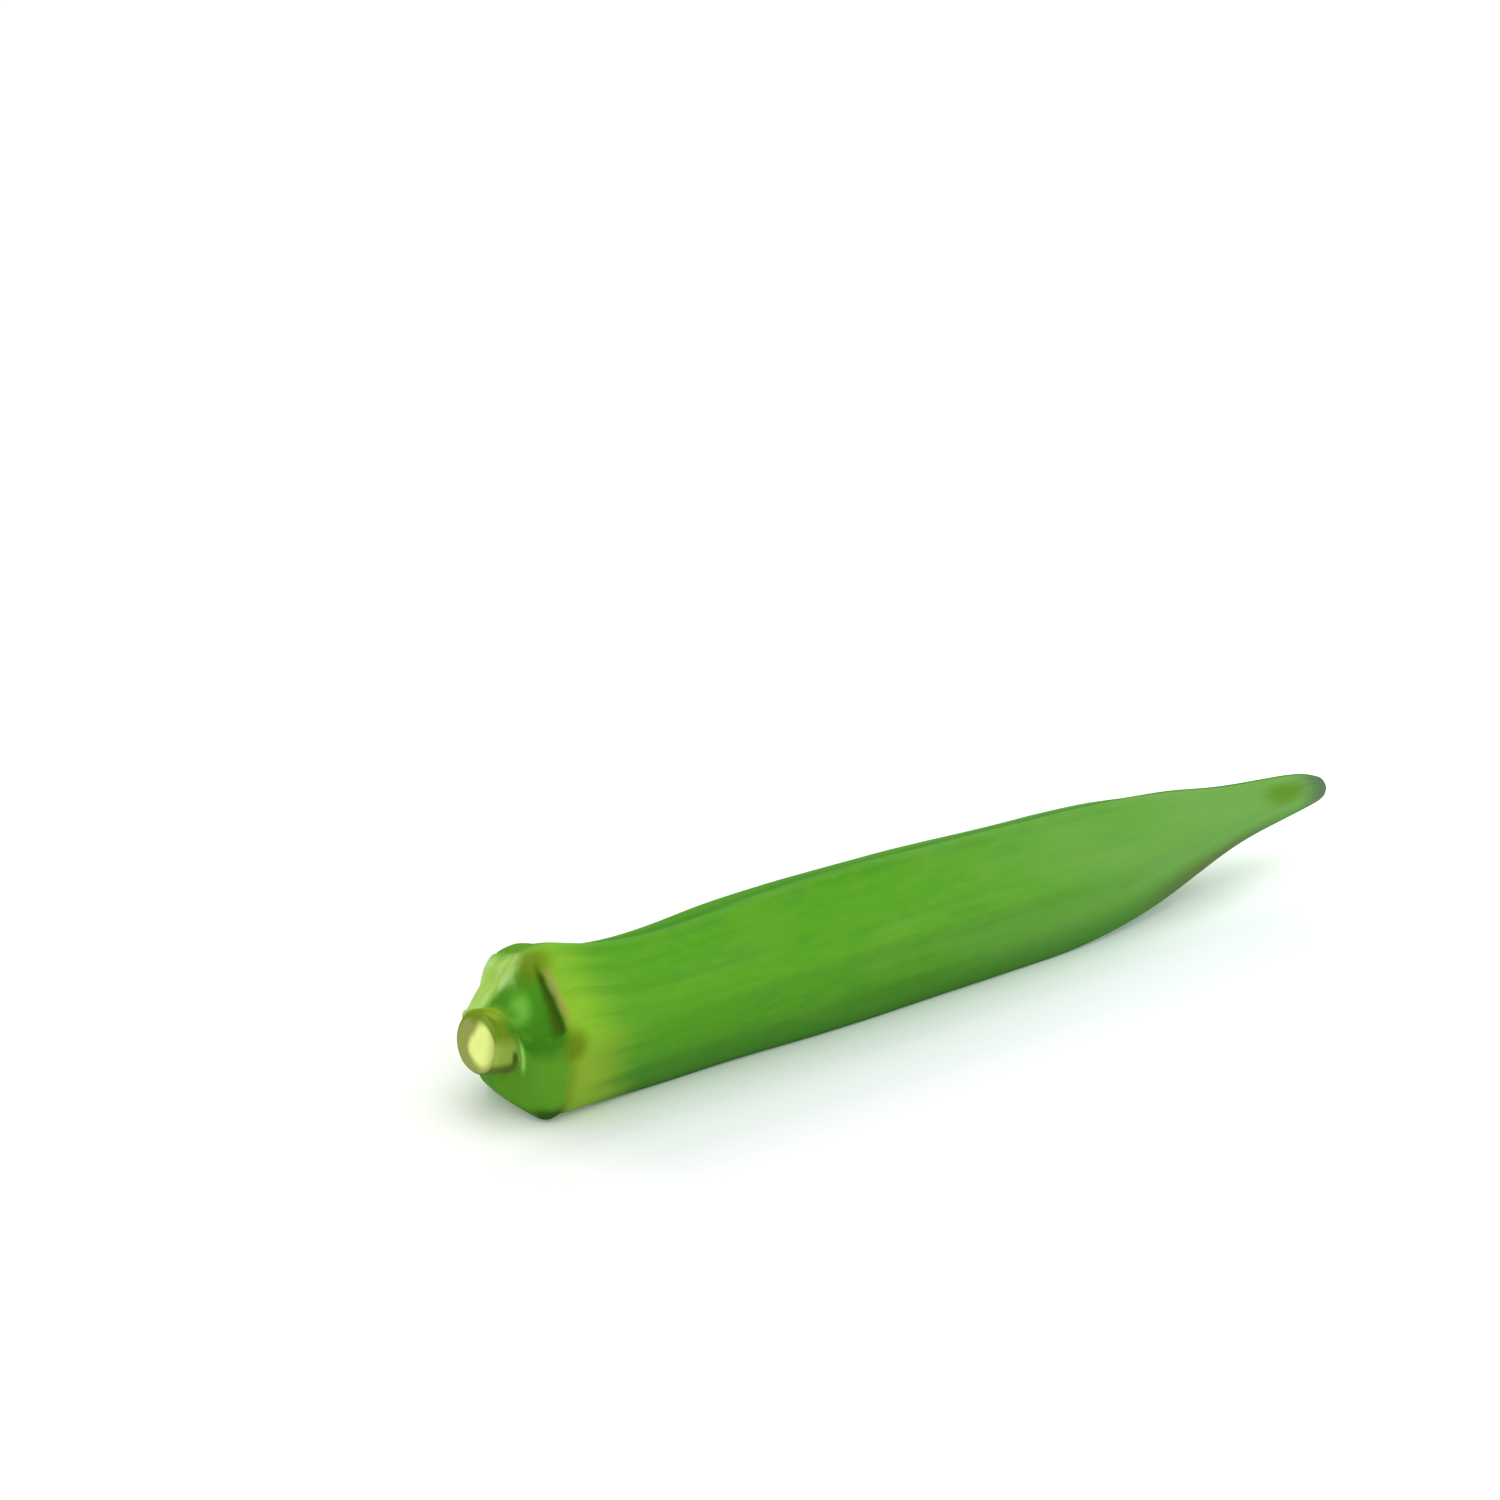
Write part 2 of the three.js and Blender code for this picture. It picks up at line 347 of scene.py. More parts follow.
# ---------------------------------------------------------------- the stage, in metres
FLOOR_SIZE = 6
FLOOR_CLOUD = 0.97
FLOOR_CLOUD_SCALE = 3
FLOOR_SHINE = {"Roughness": 0.6, "Specular_IOR_Level": 0.1, "Emission_Strength": 1}
SEEN_SHADE = 0.135  # how much darker the camera sees the floor than the pod does
BLACK = (0, 0, 0, 1)
GLOW_AT_CAP = (0.04, 0.07, 0.04, 1)
GLOW_AT_TIP = (0.22, 0.27, 0.22, 1)
GLOW_AFAR = (0.045, 0.045, 0.045, 1)
SEEN_AT_CAP = (0, 0.03, 0.03, 1)
SEEN_AT_TIP = (0.07, 0.12, 0.135, 1)
SEEN_BY_TIP = (0.4, 0.42, 0.38, 1)
SEEN_BY_EDGE = (0.08, 0.1, 0.05, 1)
SEEN_IN_CLEAR = (0.11, 0.08, 0.08, 1)
SEEN_AFAR = (0.2, 0.2, 0.2, 1)
KEY_PLACE = (0.28, -0.24, 1.5)
KEY_SIZE = 1.8
SENSOR_WIDTH = 36  # in millimetres
CLIP_START = 0.01


# ---------------------------------------------------------------- settings that a user would change
def rgb(red, green, blue):
    """A colour from the usual 0 to 255 values, as the linear numbers that a shader takes."""
    parts = [value / 255 for value in (red, green, blue)]
    return tuple(p / 12.92 if p <= 0.04045 else ((p + 0.055) / 1.055) ** 2.4 for p in parts)


def tint(name, description, *levels):
    """A colour setting, from the usual 0 to 255 levels of red, green and blue."""
    return bpy.props.FloatVectorProperty(
        name=name, description=description, default=rgb(*levels), subtype="COLOR", size=3, min=0, max=1
    )


def metres(name, description, default, low, high):
    return bpy.props.FloatProperty(
        name=name, description=description, default=default, min=low, max=high, precision=5,
        unit="LENGTH",
    )


def angle(name, description, degrees):
    return bpy.props.FloatProperty(
        name=name, description=description, default=math.radians(degrees), subtype="ANGLE"
    )


class OkraShape(bpy.types.PropertyGroup):
    ridge_rounding: metres(
        "Ridge rounding", "How far the rounding of a ridge reaches along its two sides",
        0.9 * MM, 0.1 * MM, 2 * MM,
    )
    fine_step: metres(
        "Fine step", "Spacing of the rings over the stalk, cap and collar", 0.45 * MM, 0.1 * MM, 2 * MM
    )
    body_step: metres("Body step", "Spacing of the rings along the body", 3 * MM, 1 * MM, 10 * MM)
    smoothing: bpy.props.IntProperty(
        name="Smoothing", description="Levels of subdivision of the skin", default=2, min=1, max=2
    )
    hair_length: metres(
        "Hair length", "Length of the fuzz's longest hairs", 0.18 * MM, 0.1 * MM, 2 * MM
    )
    hair_width: metres(
        "Hair width", "Width of a hair at its root", 0.02 * MM, 0.01 * MM, 0.1 * MM
    )
    hair_count: bpy.props.IntProperty(
        name="Hair count", description="How many hairs the fuzz has", default=9000, min=0, max=20000
    )


class OkraColours(bpy.types.PropertyGroup):
    body: tint("Body", "Main green of the body", 80, 151, 28)
    body_deep: tint("Body, deep", "Deeper green of the body's streaks", 57, 123, 18)
    body_under_shade: tint("Body, underside", "Greyer green of the body's lower side", 62, 118, 40)
    body_warm: tint("Body, warm", "Warmer green of the body's patches", 96, 156, 40)
    # painted shade on the body's lower side
    body_cool: tint("Body, cool", "Cooler green of the body's patches", 66, 140, 44)
    # paler threads, and the faint painted highlight along the ridges
    body_pale: tint("Body, pale", "Paler green of the ridges and threads", 110, 168, 66)
    tip: tint("Tip", "Greyer green towards the tip", 108, 158, 76)
    tip_spot: tint("Tip spot", "Yellower patch near the tip", 84, 132, 14)
    # painted shade on the underside near the tip
    tip_under_shade: tint("Tip, underside", "Dull olive of the underside near the tip", 92, 100, 54)
    tip_end: tint("Tip end", "Grey green of the tip's end", 84, 112, 74)
    collar: tint("Collar", "Yellow green beside the collar", 126, 176, 42)
    collar_glow: tint("Collar, glow", "Brightest yellow green of the collar", 132, 180, 42)
    collar_deep: tint("Collar, deep", "Olive green of the collar's lower side", 132, 168, 46)
    scar: tint("Scar", "Brownish edge beside the groove", 150, 138, 76)
    olive: tint("Olive", "Olive spots at the ends of the groove", 98, 126, 12)
    # painted shade in the groove, and in the hollow beside the stalk
    groove: tint("Groove", "Dark olive inside the groove", 56, 88, 8)
    cap: tint("Cap", "Green of the cap", 72, 142, 26)
    cap_deep: tint("Cap, deep", "Deeper green of the cap", 58, 124, 18)
    # painted highlight on the cap's near side
    cap_patch: tint("Cap, patch", "Brighter patch of the cap's near side", 118, 194, 68)
    cap_low: tint("Cap, low", "Yellower green of the cap's lower side", 92, 152, 34)
    # the far side's pale green: partly its own paler tone, partly painted light
    cap_lit_pale: tint("Cap, light", "Pale green of the cap's far side", 160, 198, 86)
    # whitish bloom, partly painted sheen
    bloom: tint("Bloom", "Whitish bloom on the cap's far side", 182, 216, 138)
    # painted contact shade where the cap meets the ground
    cap_foot_shade: tint("Cap, foot", "Dark green where the cap meets the ground", 40, 74, 22)
    # painted highlight along the lip's edge
    lip: tint("Stalk, lip", "Bright lip beside the stalk's crease", 150, 212, 98)
    root: tint("Stalk, root", "Yellow olive where the stalk leaves the cap", 142, 172, 44)
    # the stalk's lit near side, painted paler than its shaded side
    stalk: tint("Stalk", "Olive tan of the stalk's skin", 148, 176, 72)
    stalk_deep: tint("Stalk, deep", "Dark olive of the stalk's shaded side", 110, 138, 30)
    # painted shade under the stalk
    stalk_under_shade: tint("Stalk, underneath", "Brown olive under the stalk", 62, 76, 14)
    pith: tint("Pith", "Pale yellow of the cut face", 238, 250, 146)
    pith_edge: tint("Pith, edge", "Olive edge of the cut face", 148, 158, 80)
    fuzz: tint("Fuzz", "Pale green of the hairs", 130, 176, 90)


class OkraStage(bpy.types.PropertyGroup):
    floor: bpy.props.FloatVectorProperty(
        name="Floor", description="Pale surface that the pod lies on", default=(0.9, 0.905, 0.9),
        subtype="COLOR", size=3, min=0, max=1,
    )
    azimuth: angle("Azimuth", "Which way the camera looks: 0 is along +Y", -35.64)
    elevation: angle("Elevation", "How far the camera looks down", 21.577)
    camera_place: bpy.props.FloatVectorProperty(
        name="Camera place", description="Where the camera stands", size=3, subtype="XYZ", unit="LENGTH",
        default=(-0.22014, -0.272185, 0.16461),
    )
    lens: bpy.props.FloatProperty(
        name="Lens", description="Focal length in millimetres", default=85, min=10, max=300
    )
    key_watts: bpy.props.FloatProperty(
        name="Key light", description="Power of the light overhead", default=14.8, min=0, subtype="POWER",
        unit="POWER",
    )
    sky: bpy.props.FloatProperty(
        name="Sky", description="Brightness of the white surroundings", default=0.82, min=0, max=5
    )


# ---------------------------------------------------------------- modelling helpers
def add_primitive(name, add, **settings):
    """Adds a primitive under a name, and applies its place and size to its mesh."""
    bpy.ops.object.select_all(action="DESELECT")
    add(**settings)
    made = bpy.context.object
    made.name = made.data.name = name
    bpy.ops.object.transform_apply(location=True, rotation=True, scale=True)
    return made


def add_object(name, data):
    made = bpy.data.objects.new(name, data)
    bpy.context.scene.collection.objects.link(made)
    return made


def edit(piece):
    """Opens one piece, and nothing else, in edit mode with vertices selectable."""
    bpy.ops.object.select_all(action="DESELECT")
    piece.select_set(True)
    bpy.context.view_layer.objects.active = piece
    bpy.ops.object.mode_set(mode="EDIT")
    bpy.ops.mesh.select_mode(type="VERT")


def choose(piece, test):
    """Selects the vertices that pass a test, of which there must be some."""
    mesh = bmesh.from_edit_mesh(piece.data)
    for vert in mesh.verts:
        vert.select_set(bool(test(vert)))
    mesh.select_flush_mode()
    bmesh.update_edit_mesh(piece.data)
    if not any(vert.select for vert in mesh.verts):
        raise RuntimeError(f"{piece.name}: no vertex was found to work on")


def note(pod, name, value):
    """Notes a value on every vertex that is selected."""
    mesh = bmesh.from_edit_mesh(pod.data)
    layers = mesh.verts.layers.float
    layer = layers.get(name) or layers.new(name)
    for vert in mesh.verts:
        if vert.select:
            vert[layer] = value


def extrude(step):
    """Extrudes what is selected along X."""
    bpy.ops.mesh.extrude_region_move(TRANSFORM_OT_translate={"value": (step, 0, 0)})


def scale_section(share, centre, **softly):
    """Scales what is selected across the X axis, but not along it."""
    bpy.ops.transform.resize(value=(1, share, share), center_override=centre, **softly)


def place_of(co):
    """The angle round the X axis, in degrees from -Y upwards."""
    return math.degrees(math.atan2(co.z, -co.y)) % FULL_TURN


def angle_between(place, other):
    """How far one place is from another, from -180 to 180 degrees."""
    return (place - other + HALF_TURN) % FULL_TURN - HALF_TURN


def smooth(x, low, high):
    """0 below one value and 1 above another, with a smooth step between them."""
    t = np.clip((x - low) / (high - low), 0, 1)
    return t * t * (3 - 2 * t)


# ---------------------------------------------------------------- the pod
def ring_stations(shape):
    """Stations of the rings: evenly spaced over the skin, so closer where the skin is steep."""
    end = TIP_END - TIP_ROUND
    fine, wide = shape.fine_step / MM, shape.body_step / MM
    stations = []
    station = STALK_END
    while station < end:
        stations.append(station)
        spacing = fine + (wide - fine) * float(smooth(station, *RING_SPACING_CHANGES))
        slope = (ridge_radius(station + SLOPE_STEP) - ridge_radius(station)) / SLOPE_STEP
        station += spacing / math.hypot(1, slope)
    return stations + [end]


def add_section(shape):
    """The five-sided section, as one face across the X axis at the cut end."""
    axis_point = (STALK_END * MM, 0, 0)
    pod = add_primitive(
        SKIN, bpy.ops.mesh.primitive_circle_add, vertices=len(RIDGES), fill_type="NGON",
        radius=SECTION_RADIUS * SIDE_CROWN * MM, location=axis_point, rotation=(0, math.pi / 2, 0),
    )
    edit(pod)
    mesh = bmesh.from_edit_mesh(pod.data)
    mesh.verts.ensure_lookup_table()
    corners = sorted((place_of(v.co), v.index) for v in mesh.verts)
    for (place, index), ridge, reach in zip(corners, RIDGES, RIDGE_REACH):
        choose(pod, lambda v: v.index == index)
        turn = math.radians(angle_between(ridge, place))
        bpy.ops.transform.rotate(value=turn, orient_axis="X", center_override=axis_point)
        scale_section(reach, axis_point)
    bpy.ops.mesh.select_all(action="SELECT")
    bpy.ops.mesh.bevel(
        affect="VERTICES", offset=shape.ridge_rounding, segments=CORNER_SEGMENTS, profile=ROUND_PROFILE
    )
    bpy.ops.mesh.select_mode(type="EDGE")
    mesh = bmesh.from_edit_mesh(pod.data)
    for edge in mesh.edges:
        edge.select_set(edge.calc_length() > 2 * shape.ridge_rounding)
    bmesh.update_edit_mesh(pod.data)
    bpy.ops.mesh.subdivide(number_cuts=SIDE_CUTS)
    bpy.ops.mesh.select_mode(type="VERT")
    return pod


def extrude_bar(pod, stations):
    """Extrudes the section along X, a ring for each station, and notes the station of every ring."""
    bpy.ops.mesh.select_all(action="SELECT")
    note(pod, "station", stations[0])
    for before, station in zip(stations, stations[1:]):
        extrude((station - before) * MM)
        note(pod, "station", station)


def note_directions(pod):
    """Notes on each vertex its direction round the bar, for the patterns that follow the skin."""
    mesh = bmesh.from_edit_mesh(pod.data)
    around = mesh.verts.layers.float_vector.new("around")
    for vert in mesh.verts:
        vert[around] = Vector((0, vert.co.y, vert.co.z)).normalized()


def shape_rings(pod, stations):
    """Rounds, scales, leans and lifts each ring of the straight bar."""
    mesh = bmesh.from_edit_mesh(pod.data)
    radii = [math.hypot(v.co.y, v.co.z) / MM / SECTION_RADIUS for v in mesh.verts]
    mean_share = sum(radii) / len(radii)
    for station in stations:
        layer = bmesh.from_edit_mesh(pod.data).verts.layers.float["station"]
        choose(pod, lambda v: abs(v[layer] - station) < SAME_STATION)
        centre = Vector((station * MM, 0, 0))
        sides = angularity(station)
        bpy.ops.transform.tosphere(value=1 - sides, center_override=centre)
        radius = ridge_radius(station) / (sides + (1 - sides) * mean_share)
        scale_section(radius / SECTION_RADIUS, centre)
        ring = [v.co.copy() for v in bmesh.from_edit_mesh(pod.data).verts if v.select]
        sole = -min(ring, key=lambda co: abs(angle_between(place_of(co), DOWNWARDS))).z / MM
        tilt = math.asin(lean(station) / ridge_radius(station))
        if abs(tilt) > LEAST_TILT:
            towards = math.radians(lean_place(station))
            hinge = Vector((0, math.sin(towards), math.cos(towards)))
            rotate_about(centre, hinge, tilt)
        lift = sole + clearance(station) - SINK
        bpy.ops.transform.translate(value=(0, sideways(station) * MM, lift * MM))


def rotate_about(centre, axis, angle):
    """Turns what is selected about an axis across the pod, as two small turns about Y and Z."""
    for name, share in (("Y", axis.y), ("Z", axis.z)):
        if abs(share * angle) > LEAST_TURN:
            bpy.ops.transform.rotate(value=share * angle, orient_axis=name, center_override=centre)


def turn_far_ridge(pod):
    """Moves the far ridge of the straight bar to its place at the cap, fading out along the body."""
    layer = bmesh.from_edit_mesh(pod.data).verts.layers.float["station"]
    ridge = RIDGES[FAR_RIDGE]
    choose(
        pod,
        lambda v: v[layer] < FAR_RIDGE_LENGTH
        and abs(angle_between(place_of(v.co), ridge)) < FAR_RIDGE_WIDTH,
    )
    softly = {
        "use_proportional_edit": True, "proportional_edit_falloff": "SMOOTH",
        "proportional_size": FAR_RIDGE_BLEND * MM,
    }
    turn = math.radians(FAR_RIDGE_AT_CAP - ridge)
    bpy.ops.transform.rotate(value=turn, orient_axis="X", center_override=(0, 0, 0), **softly)
    scale_section(FAR_REACH_AT_CAP / RIDGE_REACH[FAR_RIDGE], (0, 0, 0), **softly)


def choose_end(pod, station):
    """Selects the one face that closes an end of the pod, and returns its centre."""
    mesh = bmesh.from_edit_mesh(pod.data)
    layer = mesh.verts.layers.float["station"]
    ends = [f for f in mesh.faces if all(abs(v[layer] - station) < SAME_STATION for v in f.verts)]
    face = max(ends, key=lambda f: len(f.verts))
    bpy.ops.mesh.select_mode(type="FACE")
    for other in mesh.faces:
        other.select_set(other == face)
    bmesh.update_edit_mesh(pod.data)
    return face.calc_center_median()


def round_tip(pod):
    """Rounds the tip over, ring by ring, and closes it on a point."""
    centre = choose_end(pod, TIP_END - TIP_ROUND)
    before = 0
    for bend in [math.radians(bend) for bend in TIP_BENDS]:
        extrude(TIP_ROUND * (math.sin(bend) - math.sin(before)) * MM)
        scale_section(math.cos(bend) / math.cos(before), centre)
        before = bend
    bpy.ops.mesh.poke(offset=TIP_ROUND * (1 - math.sin(before)) * MM)


def finish_cut(pod):
    """The cut face of the stalk: a rim of skin, a shallow ring inside it, and a domed pith."""
    bpy.ops.mesh.select_all(action="SELECT")
    note(pod, "share", 1)
    centre = choose_end(pod, STALK_END)
    before = 1
    for share, depth in CUT_RINGS:
        extrude(depth * MM)
        scale_section(share / before, centre)
        if before == CUT_RINGS[0][0]:
            bpy.ops.transform.translate(value=Vector(CUT_SHIFT) * MM)
            centre += Vector(CUT_SHIFT) * MM
        note(pod, "share", share)
        before = share
    bpy.ops.mesh.poke(offset=PITH_DOME * MM)
    bpy.ops.mesh.select_mode(type="VERT")
    choose(pod, lambda v: len(v.link_edges) > POLE_EDGES and v.co.x < 0)
    note(pod, "share", 0)


def settle(pod):
    """Moves the pod to its place in the frame, and turns its faces outwards."""
    bpy.ops.mesh.select_mode(type="VERT")
    bpy.ops.mesh.select_all(action="SELECT")
    corners = [v.co for v in bmesh.from_edit_mesh(pod.data).verts]
    shift = [POD_LOW[i] - min(co[i] for co in corners) for i in (0, 1)]
    bpy.ops.transform.translate(value=(*shift, 0))
    bpy.ops.mesh.normals_make_consistent(inside=False)
    bpy.ops.object.mode_set(mode="OBJECT")


def press_flat(pod):
    """Presses what lies below the floor up on to it."""
    edit(pod)
    choose(pod, lambda v: v.co.z < 0)
    bpy.ops.transform.resize(value=(1, 1, 0), center_override=(0, 0, 0))
    bpy.ops.object.mode_set(mode="OBJECT")


def subdivide_smoothly(piece, levels):
    modifier = piece.modifiers.new("smooth", "SUBSURF")
    modifier.levels = modifier.render_levels = levels
    bpy.ops.object.modifier_apply(modifier=modifier.name)


def read_values(mesh, name):
    return np.array([item.value for item in mesh.attributes[name].data])


def write_values(mesh, name, values):
    """Writes a number, or a vector where there are three, on every vertex."""
    kind, field = ("FLOAT", "value") if values.ndim == 1 else ("FLOAT_VECTOR", "vector")
    attribute = mesh.attributes.get(name) or mesh.attributes.new(name, kind, "POINT")
    attribute.data.foreach_set(field, values.astype(np.float32).ravel())


def run_over_skin(stations):
    """The distance over the skin from the collar's groove, negative towards the stalk."""
    steps = np.arange(STALK_END, TIP_END, RUN_STEP)
    rises = np.diff([ridge_radius(step) for step in steps])
    run = np.concatenate([[0], np.cumsum(np.hypot(RUN_STEP, rises))])
    return np.interp(stations, steps, run - np.interp(0, steps, run))


class Skin:
    """What the relief and the colours need to know of every vertex of the skin."""

    def __init__(self, mesh):
        self.mesh = mesh
        self.station = read_values(mesh, "station")
        self.share = read_values(mesh, "share")
        self.run = run_over_skin(self.station)
        around = np.array([item.vector for item in mesh.attributes["around"].data])
        lengths = np.linalg.norm(around, axis=1, keepdims=True)
        self.around = around / np.maximum(lengths, LEAST_LENGTH)
        place = np.degrees(np.arctan2(self.around[:, 2], -self.around[:, 1]))
        self.place = (place + SEAM) % FULL_TURN - SEAM
        places = [np.full_like(self.place, ridge) for ridge in RIDGES]
        at_cap = 1 - smooth(self.station, *FAR_RIDGE_TURNS)
        places[FAR_RIDGE] += (FAR_RIDGE_AT_CAP - RIDGES[FAR_RIDGE]) * at_cap
        gaps = [np.abs(angle_between(self.place, ridge)) for ridge in places]
        self.from_ridge = np.min(gaps, axis=0)

    def wobble(self, along, across, start=0):
        """Smooth noise from -1 to 1, with so many waves per millimetre along and across the skin."""
        points = self.around * SECTION_RADIUS * across
        points[:, 0] = self.run * along + start
        return np.array([noise.noise(point) for point in points.tolist()])

    def write(self, **marks):
        """Keeps the values that the materials read, as attributes of the mesh."""
        for name, values in marks.items():
            write_values(self.mesh, name, values)
        for name in ("run", "from_ridge"):
            write_values(self.mesh, name, getattr(self, name))
        unrolled = self.around * SECTION_RADIUS
        unrolled[:, 0] = self.run
        write_values(self.mesh, "unrolled", unrolled)


def bump(x, centre, half_width):
    """1 at a centre, falling smoothly to 0 at half a width to each side."""
    return 1 - smooth(np.abs(x - centre), 0, half_width)


def between(x, start, stop):
    """1 between two steps, each given by the values where it begins and ends."""
    return smooth(x, *start) * (1 - smooth(x, *stop))


def facing(skin, middle, start, end):
    """1 at a place round the pod, falling smoothly to 0 on both sides of it."""
    return 1 - smooth(np.abs(angle_between(skin.place, middle)), start, end)


def spot(skin, name):
    """A soft round mark, which reaches so many millimetres along and so many degrees round the skin."""
    run, place, reach, spread = SPOTS[name]
    off_centre = np.hypot((skin.run - run) / reach, (skin.place - place) / spread)
    return 1 - smooth(off_centre, SPOT_CORE, 1)


def stripe(skin, name):
    """A soft line across one side of the pod."""
    measure, line, side = STRIPES[name]
    return bump(getattr(skin, measure), *line) * facing(skin, *side)


def groove(skin, widen=1):
    """The wedge-shaped split on the cap's side of the collar, which widens towards the near ridge."""
    across = (skin.place - RIDGES[0]) / (RIDGES[1] - RIDGES[0])
    from_top = np.clip(1 - across, 0, 1)
    width = (GROOVE_TOP + (GROOVE_FOOT - GROOVE_TOP) * from_top) * widen
    into = (GROOVE_EDGE - skin.run + GROOVE_UNEVEN * skin.wobble(*GROOVE_NOISE)) / width
    wall = smooth(into, 0, GROOVE_WALL / widen)
    profile = wall * (1 - smooth(into, GROOVE_FLOOR / widen, GROOVE_LIP))
    depth = GROOVE_TOP_DEPTH + (1 - GROOVE_TOP_DEPTH) * from_top
    return depth * profile * between(across, *GROOVE_ENDS)


def scar(skin):
    """The dry thin edge that stands up beside the groove."""
    uneven = skin.wobble(*SCAR_NOISE)
    edge = bump(skin.run + SCAR_UNEVEN * uneven, *SCAR_LINE)
    start = smooth(skin.place + SCAR_START_FRAY * uneven, *SCAR_START)
    stop = 1 - smooth(skin.place + SCAR_STOP_FRAY * uneven, *SCAR_STOP)
    return edge * start * stop


def seam(skin):
    """The faint line of the collar all the way round."""
    return bump(skin.run, *SEAM_LINE) * smooth(skin.from_ridge, *SEAM_OFF_RIDGE)


def olive_spots(skin):
    """The two olive spots at the ends of the groove, and the faint line below them."""
    line = OLIVE_LINE_STRENGTH * stripe(skin, "olive")
    return np.maximum.reduce([spot(skin, "olive_top"), spot(skin, "olive_foot"), line])


def shoulder(skin):
    """The swelling that carries the cap's far side and underside on to the stalk."""
    sides = np.maximum(facing(skin, *FAR_SHOULDER), LOW_SHOULDER_STRENGTH * facing(skin, *LOW_SHOULDER))
    return bump(skin.run, *SHOULDER_LINE) * sides


def stalk_cover(skin):
    """Where the stalk's own skin begins: further out on the far side."""
    outward = STALK_COVER_SHIFT * facing(skin, *STALK_SIDE)
    uneven = STALK_COVER_UNEVEN * skin.wobble(*STALK_NOISE)
    return 1 - smooth(skin.station + outward + uneven, *STALK_COVER)


def cap_patch(skin):
    """The painted highlight on the near side of the cap."""
    evenness, unevenness = HIGHLIGHT_EVENNESS
    uneven = evenness + unevenness * skin.wobble(*HIGHLIGHT_NOISE)
    return spot(skin, "cap_patch") * uneven.clip(0, 1)


def pale_face(skin):
    """The moist pale part of the cut face: off centre, and fading out over its near edge."""
    angle = np.radians(skin.place)
    near, high = skin.share * np.cos(angle), skin.share * np.sin(angle)
    off_centre = np.hypot((near - PITH_MIDDLE[0]) / PITH_SIZE[0], (high - PITH_MIDDLE[1]) / PITH_SIZE[1])
    inside = 1 - smooth(off_centre + PITH_UNEVEN * skin.wobble(*PITH_NOISE), *PITH_EDGE)
    at_end = 1 - smooth(skin.station - STALK_END, *PITH_DEPTH)
    return inside * at_end * (1 - PITH_NEAR_FADE * smooth(near, *PITH_NEAR_EDGE))


def underside(skin, pod):
    """Painted contact shade over the lowest part of the skin, darkest and highest at the near side of the
    cap's foot.
    """
    heights = np.array([vert.co.z for vert in pod.data.vertices]) / MM
    foot = between(skin.station, *FOOT_SHADE_ENDS) * facing(skin, *FOOT_SHADE_SIDE)
    foot = FOOT_SHADE_STRENGTH * foot * (1 - smooth(heights, *FOOT_SHADE_HEIGHT))
    return np.maximum(CONTACT_SHADE_STRENGTH * (1 - smooth(heights, *CONTACT_SHADE_HEIGHT)), foot)


def body_relief(skin):
    """Fine ribs along the body, shallow dents, and a thin raised line along every ridge."""
    ribs = RIB_HEIGHT * skin.wobble(*RIB_NOISE)
    dents = DENT_DEPTH * (skin.wobble(*DENT_NOISE) - DENT_BIAS)
    crest = CREST_HEIGHT * (1 - smooth(skin.from_ridge, *CREST_SIDE))
    return (ribs + dents + crest) * between(skin.station, *RELIEF_ENDS)


def emboss(piece, heights, direction="NORMAL"):
    """Raises and lowers every vertex along its normal, or an axis, by heights in millimetres."""
    for name, part in (("raised", np.maximum(heights, 0)), ("lowered", np.minimum(heights, 0))):
        furthest = float(part[np.abs(part).argmax()])
        if furthest == 0:
            continue
        group = piece.vertex_groups.new(name=name)
        for index, weight in enumerate(part / furthest):
            group.add([index], float(weight), "REPLACE")
        modifier = piece.modifiers.new(name, "DISPLACE")
        modifier.vertex_group = name
        modifier.direction = direction
        modifier.mid_level = 0
        modifier.strength = furthest * MM
        bpy.ops.object.modifier_apply(modifier=name)
        piece.vertex_groups.remove(piece.vertex_groups[name])


def make_pod(shape):
    stations = ring_stations(shape)
    pod = add_section(shape)
    extrude_bar(pod, stations)
    note_directions(pod)
    turn_far_ridge(pod)
    shape_rings(pod, stations)
    round_tip(pod)
    finish_cut(pod)
    settle(pod)
    subdivide_smoothly(pod, shape.smoothing)
    skin = Skin(pod.data)
    emboss(pod, -SHOULDER_SHIFT * shoulder(skin), "X")
    marks = {
        "groove": groove(skin), "scar": scar(skin), "hollow": stripe(skin, "hollow"),
        "lip": stripe(skin, "lip"),
    }
    relief = body_relief(skin) + SEAM_HEIGHT * seam(skin)
    for name, height in MARK_HEIGHTS.items():
        relief += height * marks[name]
    emboss(pod, relief)
    press_flat(pod)
    skin.write(
        **marks, shade=groove(skin, SHADE_WIDENING), olive=olive_spots(skin), root=stripe(skin, "root"),
        cap_patch=cap_patch(skin), glow=spot(skin, "glow"), tip_spot=spot(skin, "tip_spot"),
        stalk=stalk_cover(skin), pale=pale_face(skin), underside=underside(skin, pod),
    )
    bpy.ops.object.shade_smooth()
    return pod


# ---------------------------------------------------------------- materials
class Term:
    """A number or colour that varies over a surface, with the sums that the materials use."""

    def __init__(self, finish, socket):
        self.finish = finish
        self.socket = socket

    def __add__(self, other):
        return self.finish.maths("ADD", self, other)

    __radd__ = __add__

    def __sub__(self, other):
        return self.finish.maths("SUBTRACT", self, other)

    def __rsub__(self, other):
        return self.finish.maths("SUBTRACT", other, self)

    def __mul__(self, other):
        return self.finish.maths("MULTIPLY", self, other)

    __rmul__ = __mul__


